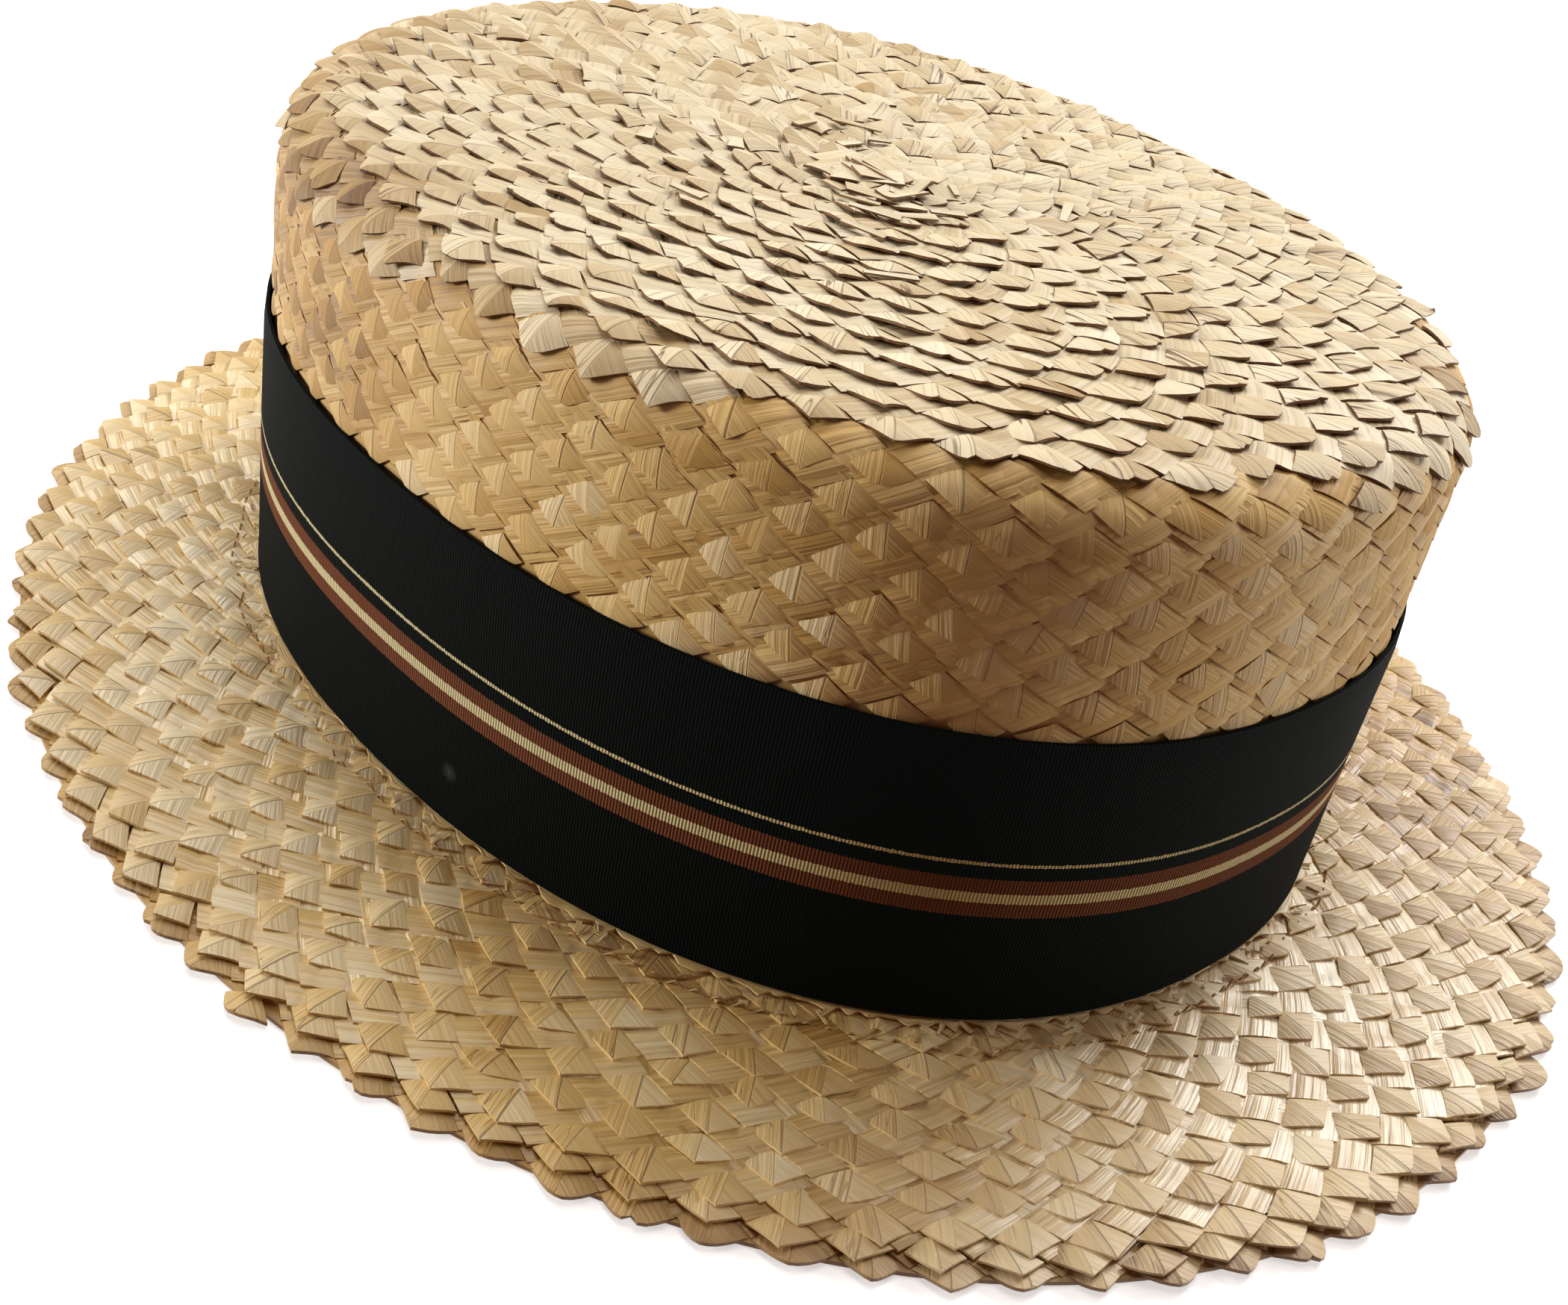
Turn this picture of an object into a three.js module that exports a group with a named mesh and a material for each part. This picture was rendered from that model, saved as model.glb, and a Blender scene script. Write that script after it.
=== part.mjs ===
// Straw boater hat: a hard flat-topped oval crown, a flat oval brim and a ribbon round the foot of the crown.
// Millimetres, +Z up. The edge of the brim rests on z = 0 and the hat faces -Y.
import * as THREE from 'three';

// The crown is an oval, a little squarer than an ellipse and a little broader at the back of the head.
const CROWN_HALF_WIDTH = 84;
const CROWN_HALF_LENGTH = 101.5;
const CROWN_SQUARENESS = 2.2;
const CROWN_BROADER_BACK = 0.045;
const CROWN_HEIGHT = 88.5;
const CROWN_CORNER_RADIUS = 8;
const STRAW_WALL = 2;

// The brim is a plain ellipse outside. Its plate is two layers of lapped braid, and its last row hangs below.
const BRIM_HALF_WIDTH = 129.5;
const BRIM_HALF_LENGTH = 148;
const BRIM_THICKNESS = 2.2;
const EDGE_ROW_WIDTH = 10;
const EDGE_ROW_DROP = 1.2;
const EDGE_ROW_OVERHANG = 2;

// The ribbon stands just clear of the straw.
const RIBBON_WIDTH = 49;
const RIBBON_THICKNESS = 0.8;
const RIBBON_ABOVE_BRIM = 0.8;

const GAP = 0.3;
const STEPS_ROUND_OVAL = 96;
const STEPS_PER_CORNER_HALF = 3;

const brimTop = EDGE_ROW_DROP + BRIM_THICKNESS;
const crownFoot = brimTop + GAP;
const crownInside = CROWN_HALF_WIDTH - STRAW_WALL;

// Point of the crown's plan at an angle: a superellipse whose width grows from the front to the back.
function crownPlan(angle) {
  const c = Math.cos(angle);
  const s = Math.sin(angle);
  const power = CROWN_SQUARENESS;
  const reach = (Math.abs(c) ** power + Math.abs(s) ** power) ** (-1 / power);
  const width = CROWN_HALF_WIDTH * (1 + CROWN_BROADER_BACK * s);
  return new THREE.Vector2(width * c * reach, CROWN_HALF_LENGTH * s * reach);
}

function brimPlan(angle) {
  return new THREE.Vector2(BRIM_HALF_WIDTH * Math.cos(angle), BRIM_HALF_LENGTH * Math.sin(angle));
}

// Point of the hat's plan at an angle and a distance from the middle, counted along the half width:
// rings inside the crown shrink towards the middle, and rings outside it grow into the brim's ellipse.
function hatPlan(angle, distance) {
  const crown = crownPlan(angle);
  if (distance <= CROWN_HALF_WIDTH) {
    return crown.multiplyScalar(distance / CROWN_HALF_WIDTH);
  }
  const across = (distance - CROWN_HALF_WIDTH) / (BRIM_HALF_WIDTH - CROWN_HALF_WIDTH);
  return crown.lerp(brimPlan(angle), across);
}

// A section, given as a path of distance and height, turned round the upright axis and drawn out to the oval.
function turnToOval(section) {
  const geometry = new THREE.LatheGeometry(section.getPoints(STEPS_PER_CORNER_HALF), STEPS_ROUND_OVAL);
  geometry.rotateX(Math.PI / 2);
  const position = geometry.attributes.position;
  for (let i = 0; i < position.count; i += 1) {
    const distance = Math.hypot(position.getX(i), position.getY(i));
    const angle = Math.atan2(position.getY(i), position.getX(i));
    const place = hatPlan(angle, distance);
    position.setXY(i, place.x, place.y);
  }
  geometry.computeVertexNormals();
  return geometry;
}

// A ring's section: corners of distance and height, in order, joined back to the first.
function closedSection(corners) {
  const path = new THREE.Path();
  path.moveTo(corners[0].distance, corners[0].height);
  for (const corner of corners.slice(1)) {
    path.lineTo(corner.distance, corner.height);
  }
  path.closePath();
  return path;
}

// From the middle of the tip's inside, down the inner wall, and up the outer wall to the middle of the tip.
function crownSection() {
  const cornerMiddle = CROWN_HEIGHT - CROWN_CORNER_RADIUS;
  const cornerDistance = CROWN_HALF_WIDTH - CROWN_CORNER_RADIUS;
  const innerRadius = CROWN_CORNER_RADIUS - STRAW_WALL;
  const path = new THREE.Path();
  path.moveTo(0, CROWN_HEIGHT - STRAW_WALL);
  path.lineTo(cornerDistance, CROWN_HEIGHT - STRAW_WALL);
  path.absarc(cornerDistance, cornerMiddle, innerRadius, Math.PI / 2, 0, true);
  path.lineTo(crownInside, crownFoot);
  path.lineTo(CROWN_HALF_WIDTH, crownFoot);
  path.lineTo(CROWN_HALF_WIDTH, cornerMiddle);
  path.absarc(cornerDistance, cornerMiddle, CROWN_CORNER_RADIUS, 0, Math.PI / 2, false);
  path.lineTo(0, CROWN_HEIGHT);
  return path;
}

// The plate, with the last row of braid lapped under its edge and standing out beyond it.
function brimSection() {
  const plateEdge = BRIM_HALF_WIDTH - EDGE_ROW_OVERHANG;
  const rowTop = brimTop - EDGE_ROW_DROP;
  return closedSection([
    { distance: crownInside, height: EDGE_ROW_DROP },
    { distance: BRIM_HALF_WIDTH - EDGE_ROW_WIDTH, height: EDGE_ROW_DROP },
    { distance: BRIM_HALF_WIDTH - EDGE_ROW_WIDTH, height: 0 },
    { distance: BRIM_HALF_WIDTH, height: 0 },
    { distance: BRIM_HALF_WIDTH, height: rowTop },
    { distance: plateEdge, height: rowTop },
    { distance: plateEdge, height: brimTop },
    { distance: crownInside, height: brimTop },
  ]);
}

function ribbonSection() {
  const inside = CROWN_HALF_WIDTH + GAP;
  const foot = brimTop + RIBBON_ABOVE_BRIM;
  return closedSection([
    { distance: inside, height: foot },
    { distance: inside + RIBBON_THICKNESS, height: foot },
    { distance: inside + RIBBON_THICKNESS, height: foot + RIBBON_WIDTH },
    { distance: inside, height: foot + RIBBON_WIDTH },
  ]);
}

function piece(name, section, material) {
  const mesh = new THREE.Mesh(turnToOval(section), material);
  mesh.name = name;
  return mesh;
}

const straw = new THREE.MeshStandardMaterial({ color: 0xd2b480, roughness: 0.55, metalness: 0 });
const ribbon = new THREE.MeshStandardMaterial({ color: 0x0e1312, roughness: 0.8, metalness: 0 });

const hat = new THREE.Group();
hat.add(
  piece('crown', crownSection(), straw),
  piece('brim', brimSection(), straw.clone()),
  piece('hat_band', ribbonSection(), ribbon),
);

export default hat;
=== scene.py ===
import bpy
import numpy as np
from mathutils import Matrix, Vector


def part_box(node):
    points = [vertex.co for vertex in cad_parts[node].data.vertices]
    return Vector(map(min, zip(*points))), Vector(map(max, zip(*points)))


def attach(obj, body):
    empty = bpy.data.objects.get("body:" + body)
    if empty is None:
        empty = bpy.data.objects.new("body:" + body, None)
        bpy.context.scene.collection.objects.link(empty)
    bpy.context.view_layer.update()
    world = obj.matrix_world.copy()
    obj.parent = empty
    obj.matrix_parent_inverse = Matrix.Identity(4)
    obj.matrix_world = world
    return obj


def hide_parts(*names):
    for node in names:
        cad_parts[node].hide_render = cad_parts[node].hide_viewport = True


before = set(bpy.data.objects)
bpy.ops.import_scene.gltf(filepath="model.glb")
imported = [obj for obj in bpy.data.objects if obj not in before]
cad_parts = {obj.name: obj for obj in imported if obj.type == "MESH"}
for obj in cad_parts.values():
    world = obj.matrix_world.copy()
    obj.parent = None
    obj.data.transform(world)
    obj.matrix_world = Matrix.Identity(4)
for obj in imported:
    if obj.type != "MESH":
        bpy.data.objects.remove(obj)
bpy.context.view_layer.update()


# Tip of the crown
# Plaited palm straw with a toothed edge, sewn flat in a spiral from the middle of the tip outwards.
# Each turn laps over the next one out, so the free teeth point outwards, stand up a little and cast shadows.
MM = 0.001
CROWN_HALF_WIDTH = 84.0
CROWN_SQUARENESS = 2.2
CROWN_BROADER_BACK = 0.045
CROWN_CORNER = 8.0
CROWN_HALF_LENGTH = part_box("crown")[1].y / MM
CROWN_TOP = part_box("crown")[1].z / MM
CROWN_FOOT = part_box("crown")[0].z / MM
FLAT_RUN = CROWN_HALF_WIDTH - CROWN_CORNER
WALL_RUN = FLAT_RUN + CROWN_CORNER * np.pi / 2
CORNER_SAG, SAG_REACH = 1.9, 8.0
SAGGED_SIDE_AT, SAGGED_SIDE_SPREAD = 155, 38


def crown_plan(angle):
    """Plan of the crown at an angle: an oval squarer than an ellipse, whose width grows towards the back."""
    c, s = np.cos(angle), np.sin(angle)
    reach = (np.abs(c) ** CROWN_SQUARENESS + np.abs(s) ** CROWN_SQUARENESS) ** (-1 / CROWN_SQUARENESS)
    width = CROWN_HALF_WIDTH * (1 + CROWN_BROADER_BACK * s)
    return np.stack([width * c * reach, CROWN_HALF_LENGTH * s * reach], -1)


def near(angle, degrees, spread):
    """Share from 0 to 1 at an angle: a bell curve of how far round it is from some degrees."""
    apart = (np.degrees(angle) - degrees + 180) % 360 - 180
    return np.exp(-(apart / spread) ** 2)


def crown_skin(angle, run):
    """Outside of the crown: the run leads from the middle of the tip along the flat, round a quarter circle
    and down. The distance from the middle scales the plan, and the height follows the same section. On the
    worn side the corner sags inwards and down by a bell curve along the run."""
    turn = np.clip((run - FLAT_RUN) / CROWN_CORNER, 0, np.pi / 2)
    from_corner = (run - (FLAT_RUN + WALL_RUN) / 2) / SAG_REACH
    sag = CORNER_SAG * near(angle, SAGGED_SIDE_AT, SAGGED_SIDE_SPREAD) * np.exp(-from_corner ** 2)
    distance = np.clip(run, 0.2, FLAT_RUN) + CROWN_CORNER * np.sin(turn) - sag
    height = CROWN_TOP - CROWN_CORNER * (1 - np.cos(turn)) - np.maximum(run - WALL_RUN, 0) - sag
    place = crown_plan(angle) * (distance / CROWN_HALF_WIDTH)[..., None]
    return np.concatenate([place, height[..., None]], -1)


def stand_on(skin, angle, run):
    """Points of a skin with their outward normals and their speed along the row in mm per radian.
    The normal is the cross product of the central differences along the run and along the angle."""
    d_angle, d_run = 1e-3, 5e-2
    along = (skin(angle + d_angle, run) - skin(angle - d_angle, run)) / (2 * d_angle)
    down = skin(angle, run + d_run) - skin(angle, run - d_run)
    normal = np.cross(down, along)
    normal /= np.linalg.norm(normal, axis=-1, keepdims=True) + 1e-12
    return skin(angle, run), normal, np.linalg.norm(along, axis=-1)


def sewn_spiral(skin, run, exposure, pitch, seam_angle):
    """Places of the teeth on a spiral that ends at the seam angle: each turn takes the run one exposure
    further, and the teeth follow each other at one pitch of arc length. Returns angle, run and the run's
    slope."""
    turns = np.cumsum(np.gradient(run) / exposure)
    angle = seam_angle + 2 * np.pi * (turns - turns[-1])
    steps = np.linalg.norm(np.diff(skin(angle, run), axis=0), axis=1)
    length = np.concatenate([[0], np.cumsum(steps)])
    places = np.arange(pitch / 2, length[-1], pitch)
    tooth_angle = np.interp(places, length, angle)
    tooth_run = np.interp(places, length, run)
    slope = np.interp(places, length, exposure) / (2 * np.pi) / stand_on(skin, tooth_angle, tooth_run)[2]
    return tooth_angle, tooth_run, slope


def leaf_pattern(steps):
    """Face lists of one flat leaf on a square grid of steps: the half right of the diagonal, the half left of
    it, the rim and the underside, with each point's two grid coordinates and the edge points' numbers."""
    grid = np.arange((steps + 1) ** 2).reshape(steps + 1, steps + 1)
    edge = np.concatenate([grid[:-1, 0], grid[-1, :-1], grid[:0:-1, -1], grid[0, :0:-1]])
    below = grid.size + np.arange(len(edge))
    quads = np.stack([grid[:-1, :-1], grid[:-1, 1:], grid[1:, 1:], grid[1:, :-1]], -1)
    right = np.tri(steps, k=-1, dtype=bool)
    middle = quads[np.eye(steps, dtype=bool)]
    rim = np.stack([edge, np.roll(edge, -1), np.roll(below, -1), below], -1)
    faces = [quads[right], middle[:, [0, 2, 3]], quads[right.T], middle[:, [0, 1, 2]], rim, below[None]]
    a, b = np.divmod(grid.ravel(), steps + 1)
    return faces, a / steps, b / steps, edge


LEAF_SIDE = 6.0


def leaves(skin, places, across, outwards, height, thickness, pattern, tones, rng,
           silk=0.0, creases=0.0, tuck_shade=0.0, turned=False):
    """Many leaves laid on a skin: each point goes across the row and outwards from its leaf's place in mm,
    and up by its height along the normal; the rim drops by the thickness. The grain runs along one side of
    the leaf, or, on the left half of a creased leaf, along its diagonal; turned swaps its two axes. The tone
    runs from dark to light along the first side: painted shade where a strand dives under a tooth. Returns
    points, face lists, and the corners' grain, colour and half; the colour holds tone, silk, creases and the
    line of the fold."""
    angle, run, slope = (value[:, None] for value in places)
    faces, a, b, edge = pattern
    speed = stand_on(skin, angle, run)[2]
    point, normal, _ = stand_on(skin, angle + across / speed, run + outwards + slope * across)
    top = point + normal * height[..., None]
    under = point[:, edge] + normal[:, edge] * (height[:, edge] - thickness)[..., None]
    points = np.concatenate([top, under], 1)
    a, b = np.concatenate([a, a[edge]]), np.concatenate([b, b[edge]])
    count = len(points)
    shift = rng.uniform(0, 400, (count, 1, 1, 2))
    folded = rng.uniform(0.15, 1.0, (count, 1, 1))
    lists, grain, colour, half = [], [], [], []
    for part, face in enumerate(faces):
        left = part in (2, 3)
        u, v = a[face] * LEAF_SIDE, b[face] * LEAF_SIDE
        if left and silk == 0:
            u, v = (a + b)[face] * 4.4, (b - a)[face] * 4.4
        if turned:
            u, v = v, u
        lists.append((face + points.shape[1] * np.arange(count)[:, None, None]).reshape(-1, face.shape[1]))
        grain.append((np.stack([u, v], -1) + shift).reshape(-1, 2))
        leaf = np.tile([0.0, silk, creases * (1.0 if left else 0.3), 0.0], (count, *face.shape, 1))
        leaf[..., 0] = tones[:, part // 2, None, None] + tuck_shade * (a[face] - 0.5)
        leaf[..., 2] *= folded
        leaf[..., 3] = np.isclose(a[face], b[face]) * (part < 4) * (silk == 0) * (0.8 + 0.25 * folded)
        colour.append(leaf.reshape(-1, 4))
        half.append(np.full(count * face.size, left))
    return points.reshape(-1, 3), lists, np.concatenate(grain), np.concatenate(colour), np.concatenate(half)


def make_piece(name, patches, material):
    """One mesh object at the origin from patches of points in mm, face lists, and the corners' grain, colour
    and half. Edges are sharp where faces meet at a wide angle and where the halves of a leaf meet."""
    mesh = bpy.data.meshes.new(name)
    counts = np.cumsum([0] + [len(patch[0]) for patch in patches])
    faces = [face + start for patch, start in zip(patches, counts) for face in patch[1]]
    sizes = np.concatenate([np.full(len(face), face.shape[1]) for face in faces])
    corners = np.concatenate([face.ravel() for face in faces])
    mesh.vertices.add(counts[-1])
    mesh.vertices.foreach_set("co", (np.concatenate([patch[0] for patch in patches]) * MM).ravel())
    mesh.loops.add(len(corners))
    mesh.loops.foreach_set("vertex_index", corners.astype(np.int32))
    mesh.polygons.add(len(sizes))
    mesh.polygons.foreach_set("loop_start", (np.cumsum(sizes) - sizes).astype(np.int32))
    grain = np.concatenate([patch[2] for patch in patches])
    mesh.uv_layers.new(name="grain").data.foreach_set("uv", grain.ravel())
    leaf = mesh.attributes.new("leaf", "FLOAT_COLOR", "CORNER")
    leaf.data.foreach_set("color", np.concatenate([patch[3] for patch in patches]).ravel())
    mesh.update(calc_edges=True)
    mesh.set_sharp_from_angle(angle=0.6)
    edges = np.empty(len(corners), np.int32)
    mesh.loops.foreach_get("edge_index", edges)
    half = np.concatenate([patch[4] for patch in patches])
    left = np.bincount(edges, half, len(mesh.edges))
    sharp = np.zeros(len(mesh.edges), bool)
    mesh.edges.foreach_get("use_edge_sharp", sharp)
    sharp |= (left > 0) & (left < np.bincount(edges, minlength=len(mesh.edges)))
    mesh.edges.foreach_set("use_edge_sharp", sharp)
    mesh.materials.append(material)
    piece = bpy.data.objects.new(name, mesh)
    bpy.context.scene.collection.objects.link(piece)
    return piece


def linear(colour):
    """Linear red, green, blue and alpha of an sRGB hex colour."""
    value = np.array([int(colour[i:i + 2], 16) for i in (1, 3, 5)]) / 255
    value = np.where(value <= 0.04045, value / 12.92, ((value + 0.055) / 1.055) ** 2.4)
    return (*value, 1.0)


def add(tree, kind, inputs=None, **settings):
    """Adds a node to a tree with its settings, and sets or links its inputs."""
    made = tree.nodes.new(kind)
    for key, value in settings.items():
        setattr(made, key, value)
    for key, value in (inputs or {}).items():
        if isinstance(value, bpy.types.NodeSocket):
            tree.links.new(value, made.inputs[key])
        else:
            made.inputs[key].default_value = value
    return made


# Single fibres are too fine to show, so the streaks are as wide as bundles of them.
FIBRE_WIDTH, FIBRE_LENGTH = 0.7, 45.0
CREASE_GAP, CREASE_LENGTH = 1.6, 30.0
STRIP_WIDTH = 2.3
WEAR_PATCH = 30.0
SHEEN_FADES_OVER = 40.0
# Blender's wave texture repeats over this length at a scale of 1.
WAVE_PERIOD = 2 * np.pi / 20


def straw(name, raw, dark, middle, pale, roughness, sheen_side):
    """Split palm leaf, plaited and pressed: a silky face with fine streaks along its fibres, thin dark lines
    where it was creased, and narrow strips where a strand is split. Raw is the colour of cut edges and
    creases; each leaf lies at its own tone between dark and pale. A painted sheen is given as angle in
    degrees, distance in m and amount: beyond that distance, on the side that faces the angle, the colour
    loses some of its yellow, as where a lamp shines on it."""
    facing, reach, sheen_amount = sheen_side
    towards_sheen = (np.cos(np.radians(facing)), np.sin(np.radians(facing)), 0.0)
    material = bpy.data.materials.new(name)
    material.use_nodes = True
    tree = material.node_tree
    shader = tree.nodes["Principled BSDF"]
    leaf = add(tree, "ShaderNodeAttribute", attribute_name="leaf")
    parts = add(tree, "ShaderNodeSeparateColor", {"Color": leaf.outputs["Color"]})
    tone, silk, creases = parts.outputs
    grain = add(tree, "ShaderNodeUVMap", uv_map="grain").outputs["UV"]
    place = add(tree, "ShaderNodeTexCoord").outputs["Object"]

    # Fibres: streaks along the leaf, stronger on silky strands, over broad patches of wear.
    fibre_scale = (1 / FIBRE_LENGTH, 1 / FIBRE_WIDTH, 1)
    long = add(tree, "ShaderNodeMapping", {"Vector": grain, "Scale": fibre_scale}).outputs[0]
    fibre = add(tree, "ShaderNodeTexNoise", {"Vector": long, "Scale": 1.0, "Detail": 4.0}).outputs[0]
    patch_scale = 1 / (WEAR_PATCH * MM)
    wear = add(tree, "ShaderNodeTexNoise", {"Vector": place, "Scale": patch_scale, "Detail": 4.0}).outputs[0]
    centred = add(tree, "ShaderNodeMath", {0: fibre, 1: 0.5}, operation="SUBTRACT").outputs[0]
    swing = add(tree, "ShaderNodeMath", {0: silk, 1: 0.26, 2: 0.32}, operation="MULTIPLY_ADD").outputs[0]
    toned = add(tree, "ShaderNodeMath", {0: centred, 1: swing, 2: tone}, operation="MULTIPLY_ADD").outputs[0]
    worn = add(tree, "ShaderNodeMath", {0: wear, 1: 0.5, 2: toned}, operation="MULTIPLY_ADD").outputs[0]
    level = add(tree, "ShaderNodeMath", {0: worn, 1: 0.25}, operation="SUBTRACT").outputs[0]
    ramp = add(tree, "ShaderNodeValToRGB", {"Fac": level})
    ramp.color_ramp.elements[0].color = linear(raw)
    ramp.color_ramp.elements[1].color = linear(pale)
    ramp.color_ramp.elements.new(0.3).color = linear(dark)
    ramp.color_ramp.elements.new(0.62).color = linear(middle)

    # Painted sheen: the colour loses some of its yellow on the side that faces the lamp.
    sheenward = add(tree, "ShaderNodeVectorMath", {0: place, 1: towards_sheen}, operation="DOT_PRODUCT")
    sheen_range = {0: sheenward.outputs["Value"], 1: reach, 2: reach + SHEEN_FADES_OVER * MM, 3: 0.0, 4: sheen_amount}
    sheen_share = add(tree, "ShaderNodeMapRange", sheen_range).outputs[0]
    sheen_pale = {"Fac": sheen_share, "Saturation": 0.4, "Color": ramp.outputs[0]}
    face = add(tree, "ShaderNodeHueSaturation", sheen_pale).outputs[0]

    # Creases: thin lines where a stretched noise passes its middle, and the fold down the middle of a tooth.
    crease_scale = (1 / CREASE_LENGTH, 1 / CREASE_GAP, 1)
    lines_at = {"Vector": grain, "Scale": crease_scale, "Location": (7, 3, 0)}
    lined = add(tree, "ShaderNodeMapping", lines_at).outputs[0]
    line = add(tree, "ShaderNodeTexNoise", {"Vector": lined, "Scale": 1.0, "Detail": 1.0}).outputs[0]
    offset = add(tree, "ShaderNodeMath", {0: line, 1: 0.5}, operation="SUBTRACT").outputs[0]
    offset = add(tree, "ShaderNodeMath", {0: offset}, operation="ABSOLUTE").outputs[0]
    crease = add(tree, "ShaderNodeMapRange", {0: offset, 1: 0.0, 2: 0.018, 3: 0.6, 4: 0.0}).outputs[0]
    hatch = add(tree, "ShaderNodeMath", {0: crease, 1: creases}, operation="MULTIPLY").outputs[0]
    fold_range = {0: leaf.outputs["Alpha"], 1: 0.8, 2: 0.95, 3: 0.0, 4: 0.6}
    fold = add(tree, "ShaderNodeMapRange", fold_range).outputs[0]
    folds = add(tree, "ShaderNodeMath", {0: hatch, 1: fold}, operation="MAXIMUM").outputs[0]

    # Strips: a silky strand is split lengthwise, with a dark gap between its domed strips.
    strip_scale = WAVE_PERIOD / STRIP_WIDTH
    strip_wave = {"Vector": grain, "Scale": strip_scale, "Distortion": 2.5, "Detail Scale": 0.4}
    strips = add(tree, "ShaderNodeTexWave", strip_wave, bands_direction="Y").outputs["Fac"]
    gap = add(tree, "ShaderNodeMapRange", {0: strips, 1: 0.0, 2: 0.1, 3: 0.16, 4: 0.0}).outputs[0]
    split = add(tree, "ShaderNodeMath", {0: gap, 1: silk}, operation="MULTIPLY").outputs[0]
    amount = add(tree, "ShaderNodeMath", {0: folds, 1: split}, operation="MAXIMUM").outputs[0]
    colour = add(tree, "ShaderNodeMix", {0: amount, 6: face, 7: linear(raw)}, data_type="RGBA").outputs[2]
    tree.links.new(colour, shader.inputs["Base Color"])

    # Gloss and relief: silky strands shine more, and fibres, strips and creases stand up or sink a little.
    matt = add(tree, "ShaderNodeMath", {0: silk, 1: -0.15, 2: roughness}, operation="MULTIPLY_ADD").outputs[0]
    gloss = add(tree, "ShaderNodeMath", {0: fibre, 1: 0.2, 2: matt}, operation="MULTIPLY_ADD").outputs[0]
    tree.links.new(gloss, shader.inputs["Roughness"])
    domed = add(tree, "ShaderNodeMath", {0: strips, 1: silk}, operation="MULTIPLY").outputs[0]
    raised = add(tree, "ShaderNodeMath", {0: domed, 1: 0.25, 2: fibre}, operation="MULTIPLY_ADD").outputs[0]
    relief = add(tree, "ShaderNodeMath", {0: amount, 1: -0.8, 2: raised}, operation="MULTIPLY_ADD").outputs[0]
    bump = add(tree, "ShaderNodeBump", {"Height": relief, "Strength": 0.5, "Distance": 0.5 * MM})
    tree.links.new(bump.outputs[0], shader.inputs["Normal"])
    shader.inputs["IOR"].default_value = 1.5
    return material


PITCH = 10.0
TOOTH = leaf_pattern(5)
STRAND = leaf_pattern(4)
TUCKED = leaf_pattern(2)
STRAND_SHARE = 0.54


def braid(skin, places, rng, exposure, width, length, thickness, lap, lift, ridge, stand, sink,
          ragged, rounded, tooth_tone, half_tone, strand_tone, strand_tuck_shade, rim_tone, creases):
    """Teeth and strands of a sewn braid. A tooth is a rhombus with a raised ridge from its inner corner to
    its tip, whose sides bulge as in the mapping of a square to a disc; the strands behind it are the next two
    rhombi inwards. All lean like shingles, rising by one lap over one exposure, and all sink by the same
    depth. Each tooth has its own share of lift in its curl, warp and bends, and its tip stands off by its own
    height. Ragged is how far its edges are bitten and its tip blunted. Lengths are in mm, and tones run from
    0 to 1."""
    count = len(places[0])

    def spread(amount):
        """One normal random value for each tooth, times an amount."""
        return amount * rng.normal(size=(count, 1))

    def lean(outwards):
        """Height of the row at a distance from its tips: a straight slope with a floor, less the sink."""
        return np.maximum(lap * (1 + outwards / exposure), -0.15) - sink

    _, a, b, _ = TOOTH
    bulge = rounded * rng.uniform(0.4, 1.4, (count, 1)) / 2
    p, q = 2 * a - 1, 2 * b - 1
    p, q = p * np.sqrt((1 - bulge * q ** 2) / (1 - bulge)), q * np.sqrt((1 - bulge * p ** 2) / (1 - bulge))
    fold, reach = (p - q) / 2, (p + q) / 4 + 0.5
    own_width, own_length = width * (1 + spread(0.08)), length * (1 + spread(0.09))
    across = fold * own_width / 2 + spread(0.8) * (reach - 0.5)
    bitten = spread(ragged) * np.sin(np.pi * a) * b ** 3 + spread(ragged) * np.sin(np.pi * b) * a ** 3
    blunt = np.abs(spread(ragged * 2)) * (a * b) ** 6
    outwards = (reach - 1) * own_length + spread(0.25 + 0.5 * ragged) + bitten - blunt
    curl = np.abs(spread(lift)) * np.maximum(reach - 0.45, 0) ** 2 / 0.3
    warp = spread(0.10) * fold + spread(0.14) * (reach - 0.5) + spread(lift * 0.5) * (fold ** 2 - 0.3)
    bent = spread(lift) * np.maximum(a - 0.6, 0) + spread(lift) * np.maximum(b - 0.6, 0)
    pillow = 0.2 * (np.abs(2 * a - 1) ** 4 + np.abs(2 * b - 1) ** 4)
    stiff = stand * np.maximum(reach - 0.2, 0) ** 2 / 0.64
    height = lean(outwards) + ridge * (1 - np.abs(fold)) + curl + warp + bent + stiff - pillow
    tone = tooth_tone + spread(0.07)
    halves = [tone - half_tone + spread(0.04), tone + half_tone + spread(0.04)]
    tones = np.concatenate(halves + [tone * 0 + rim_tone], 1)
    patches = [leaves(skin, places, across, outwards, height, thickness, TOOTH, tones, rng, creases=creases)]

    for pattern, sideways, inwards, turned in ((STRAND, PITCH / 2, 1.0, True), (TUCKED, 0.0, 1.5, False)):
        _, a, b, _ = pattern
        across = sideways + (a - b) * PITCH * STRAND_SHARE
        outwards = (a + b - 1) * length * STRAND_SHARE - inwards * length
        split = 0.25 * (rng.random((count, 1)) < 0.4) * (np.abs(b - 0.5) < 0.1)
        domed = 0.12 * np.sin(np.pi * b) - 0.35 * np.abs(2 * a - 1) ** 3 - split
        height = lean(outwards) + domed + spread(0.08) * (b - 0.5) + 0.12
        tone = strand_tone + spread(0.08)
        tones = np.concatenate([tone, tone, tone * 0 + rim_tone], 1)
        patches.append(leaves(skin, places, across, outwards, height, thickness, pattern, tones, rng,
                              silk=1.0, creases=0.2, tuck_shade=strand_tuck_shade, turned=turned))
    return patches


def run_at(level):
    """Run down the upright side of the crown at which it has a level in mm."""
    return WALL_RUN + CROWN_TOP - CROWN_CORNER - level


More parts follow.
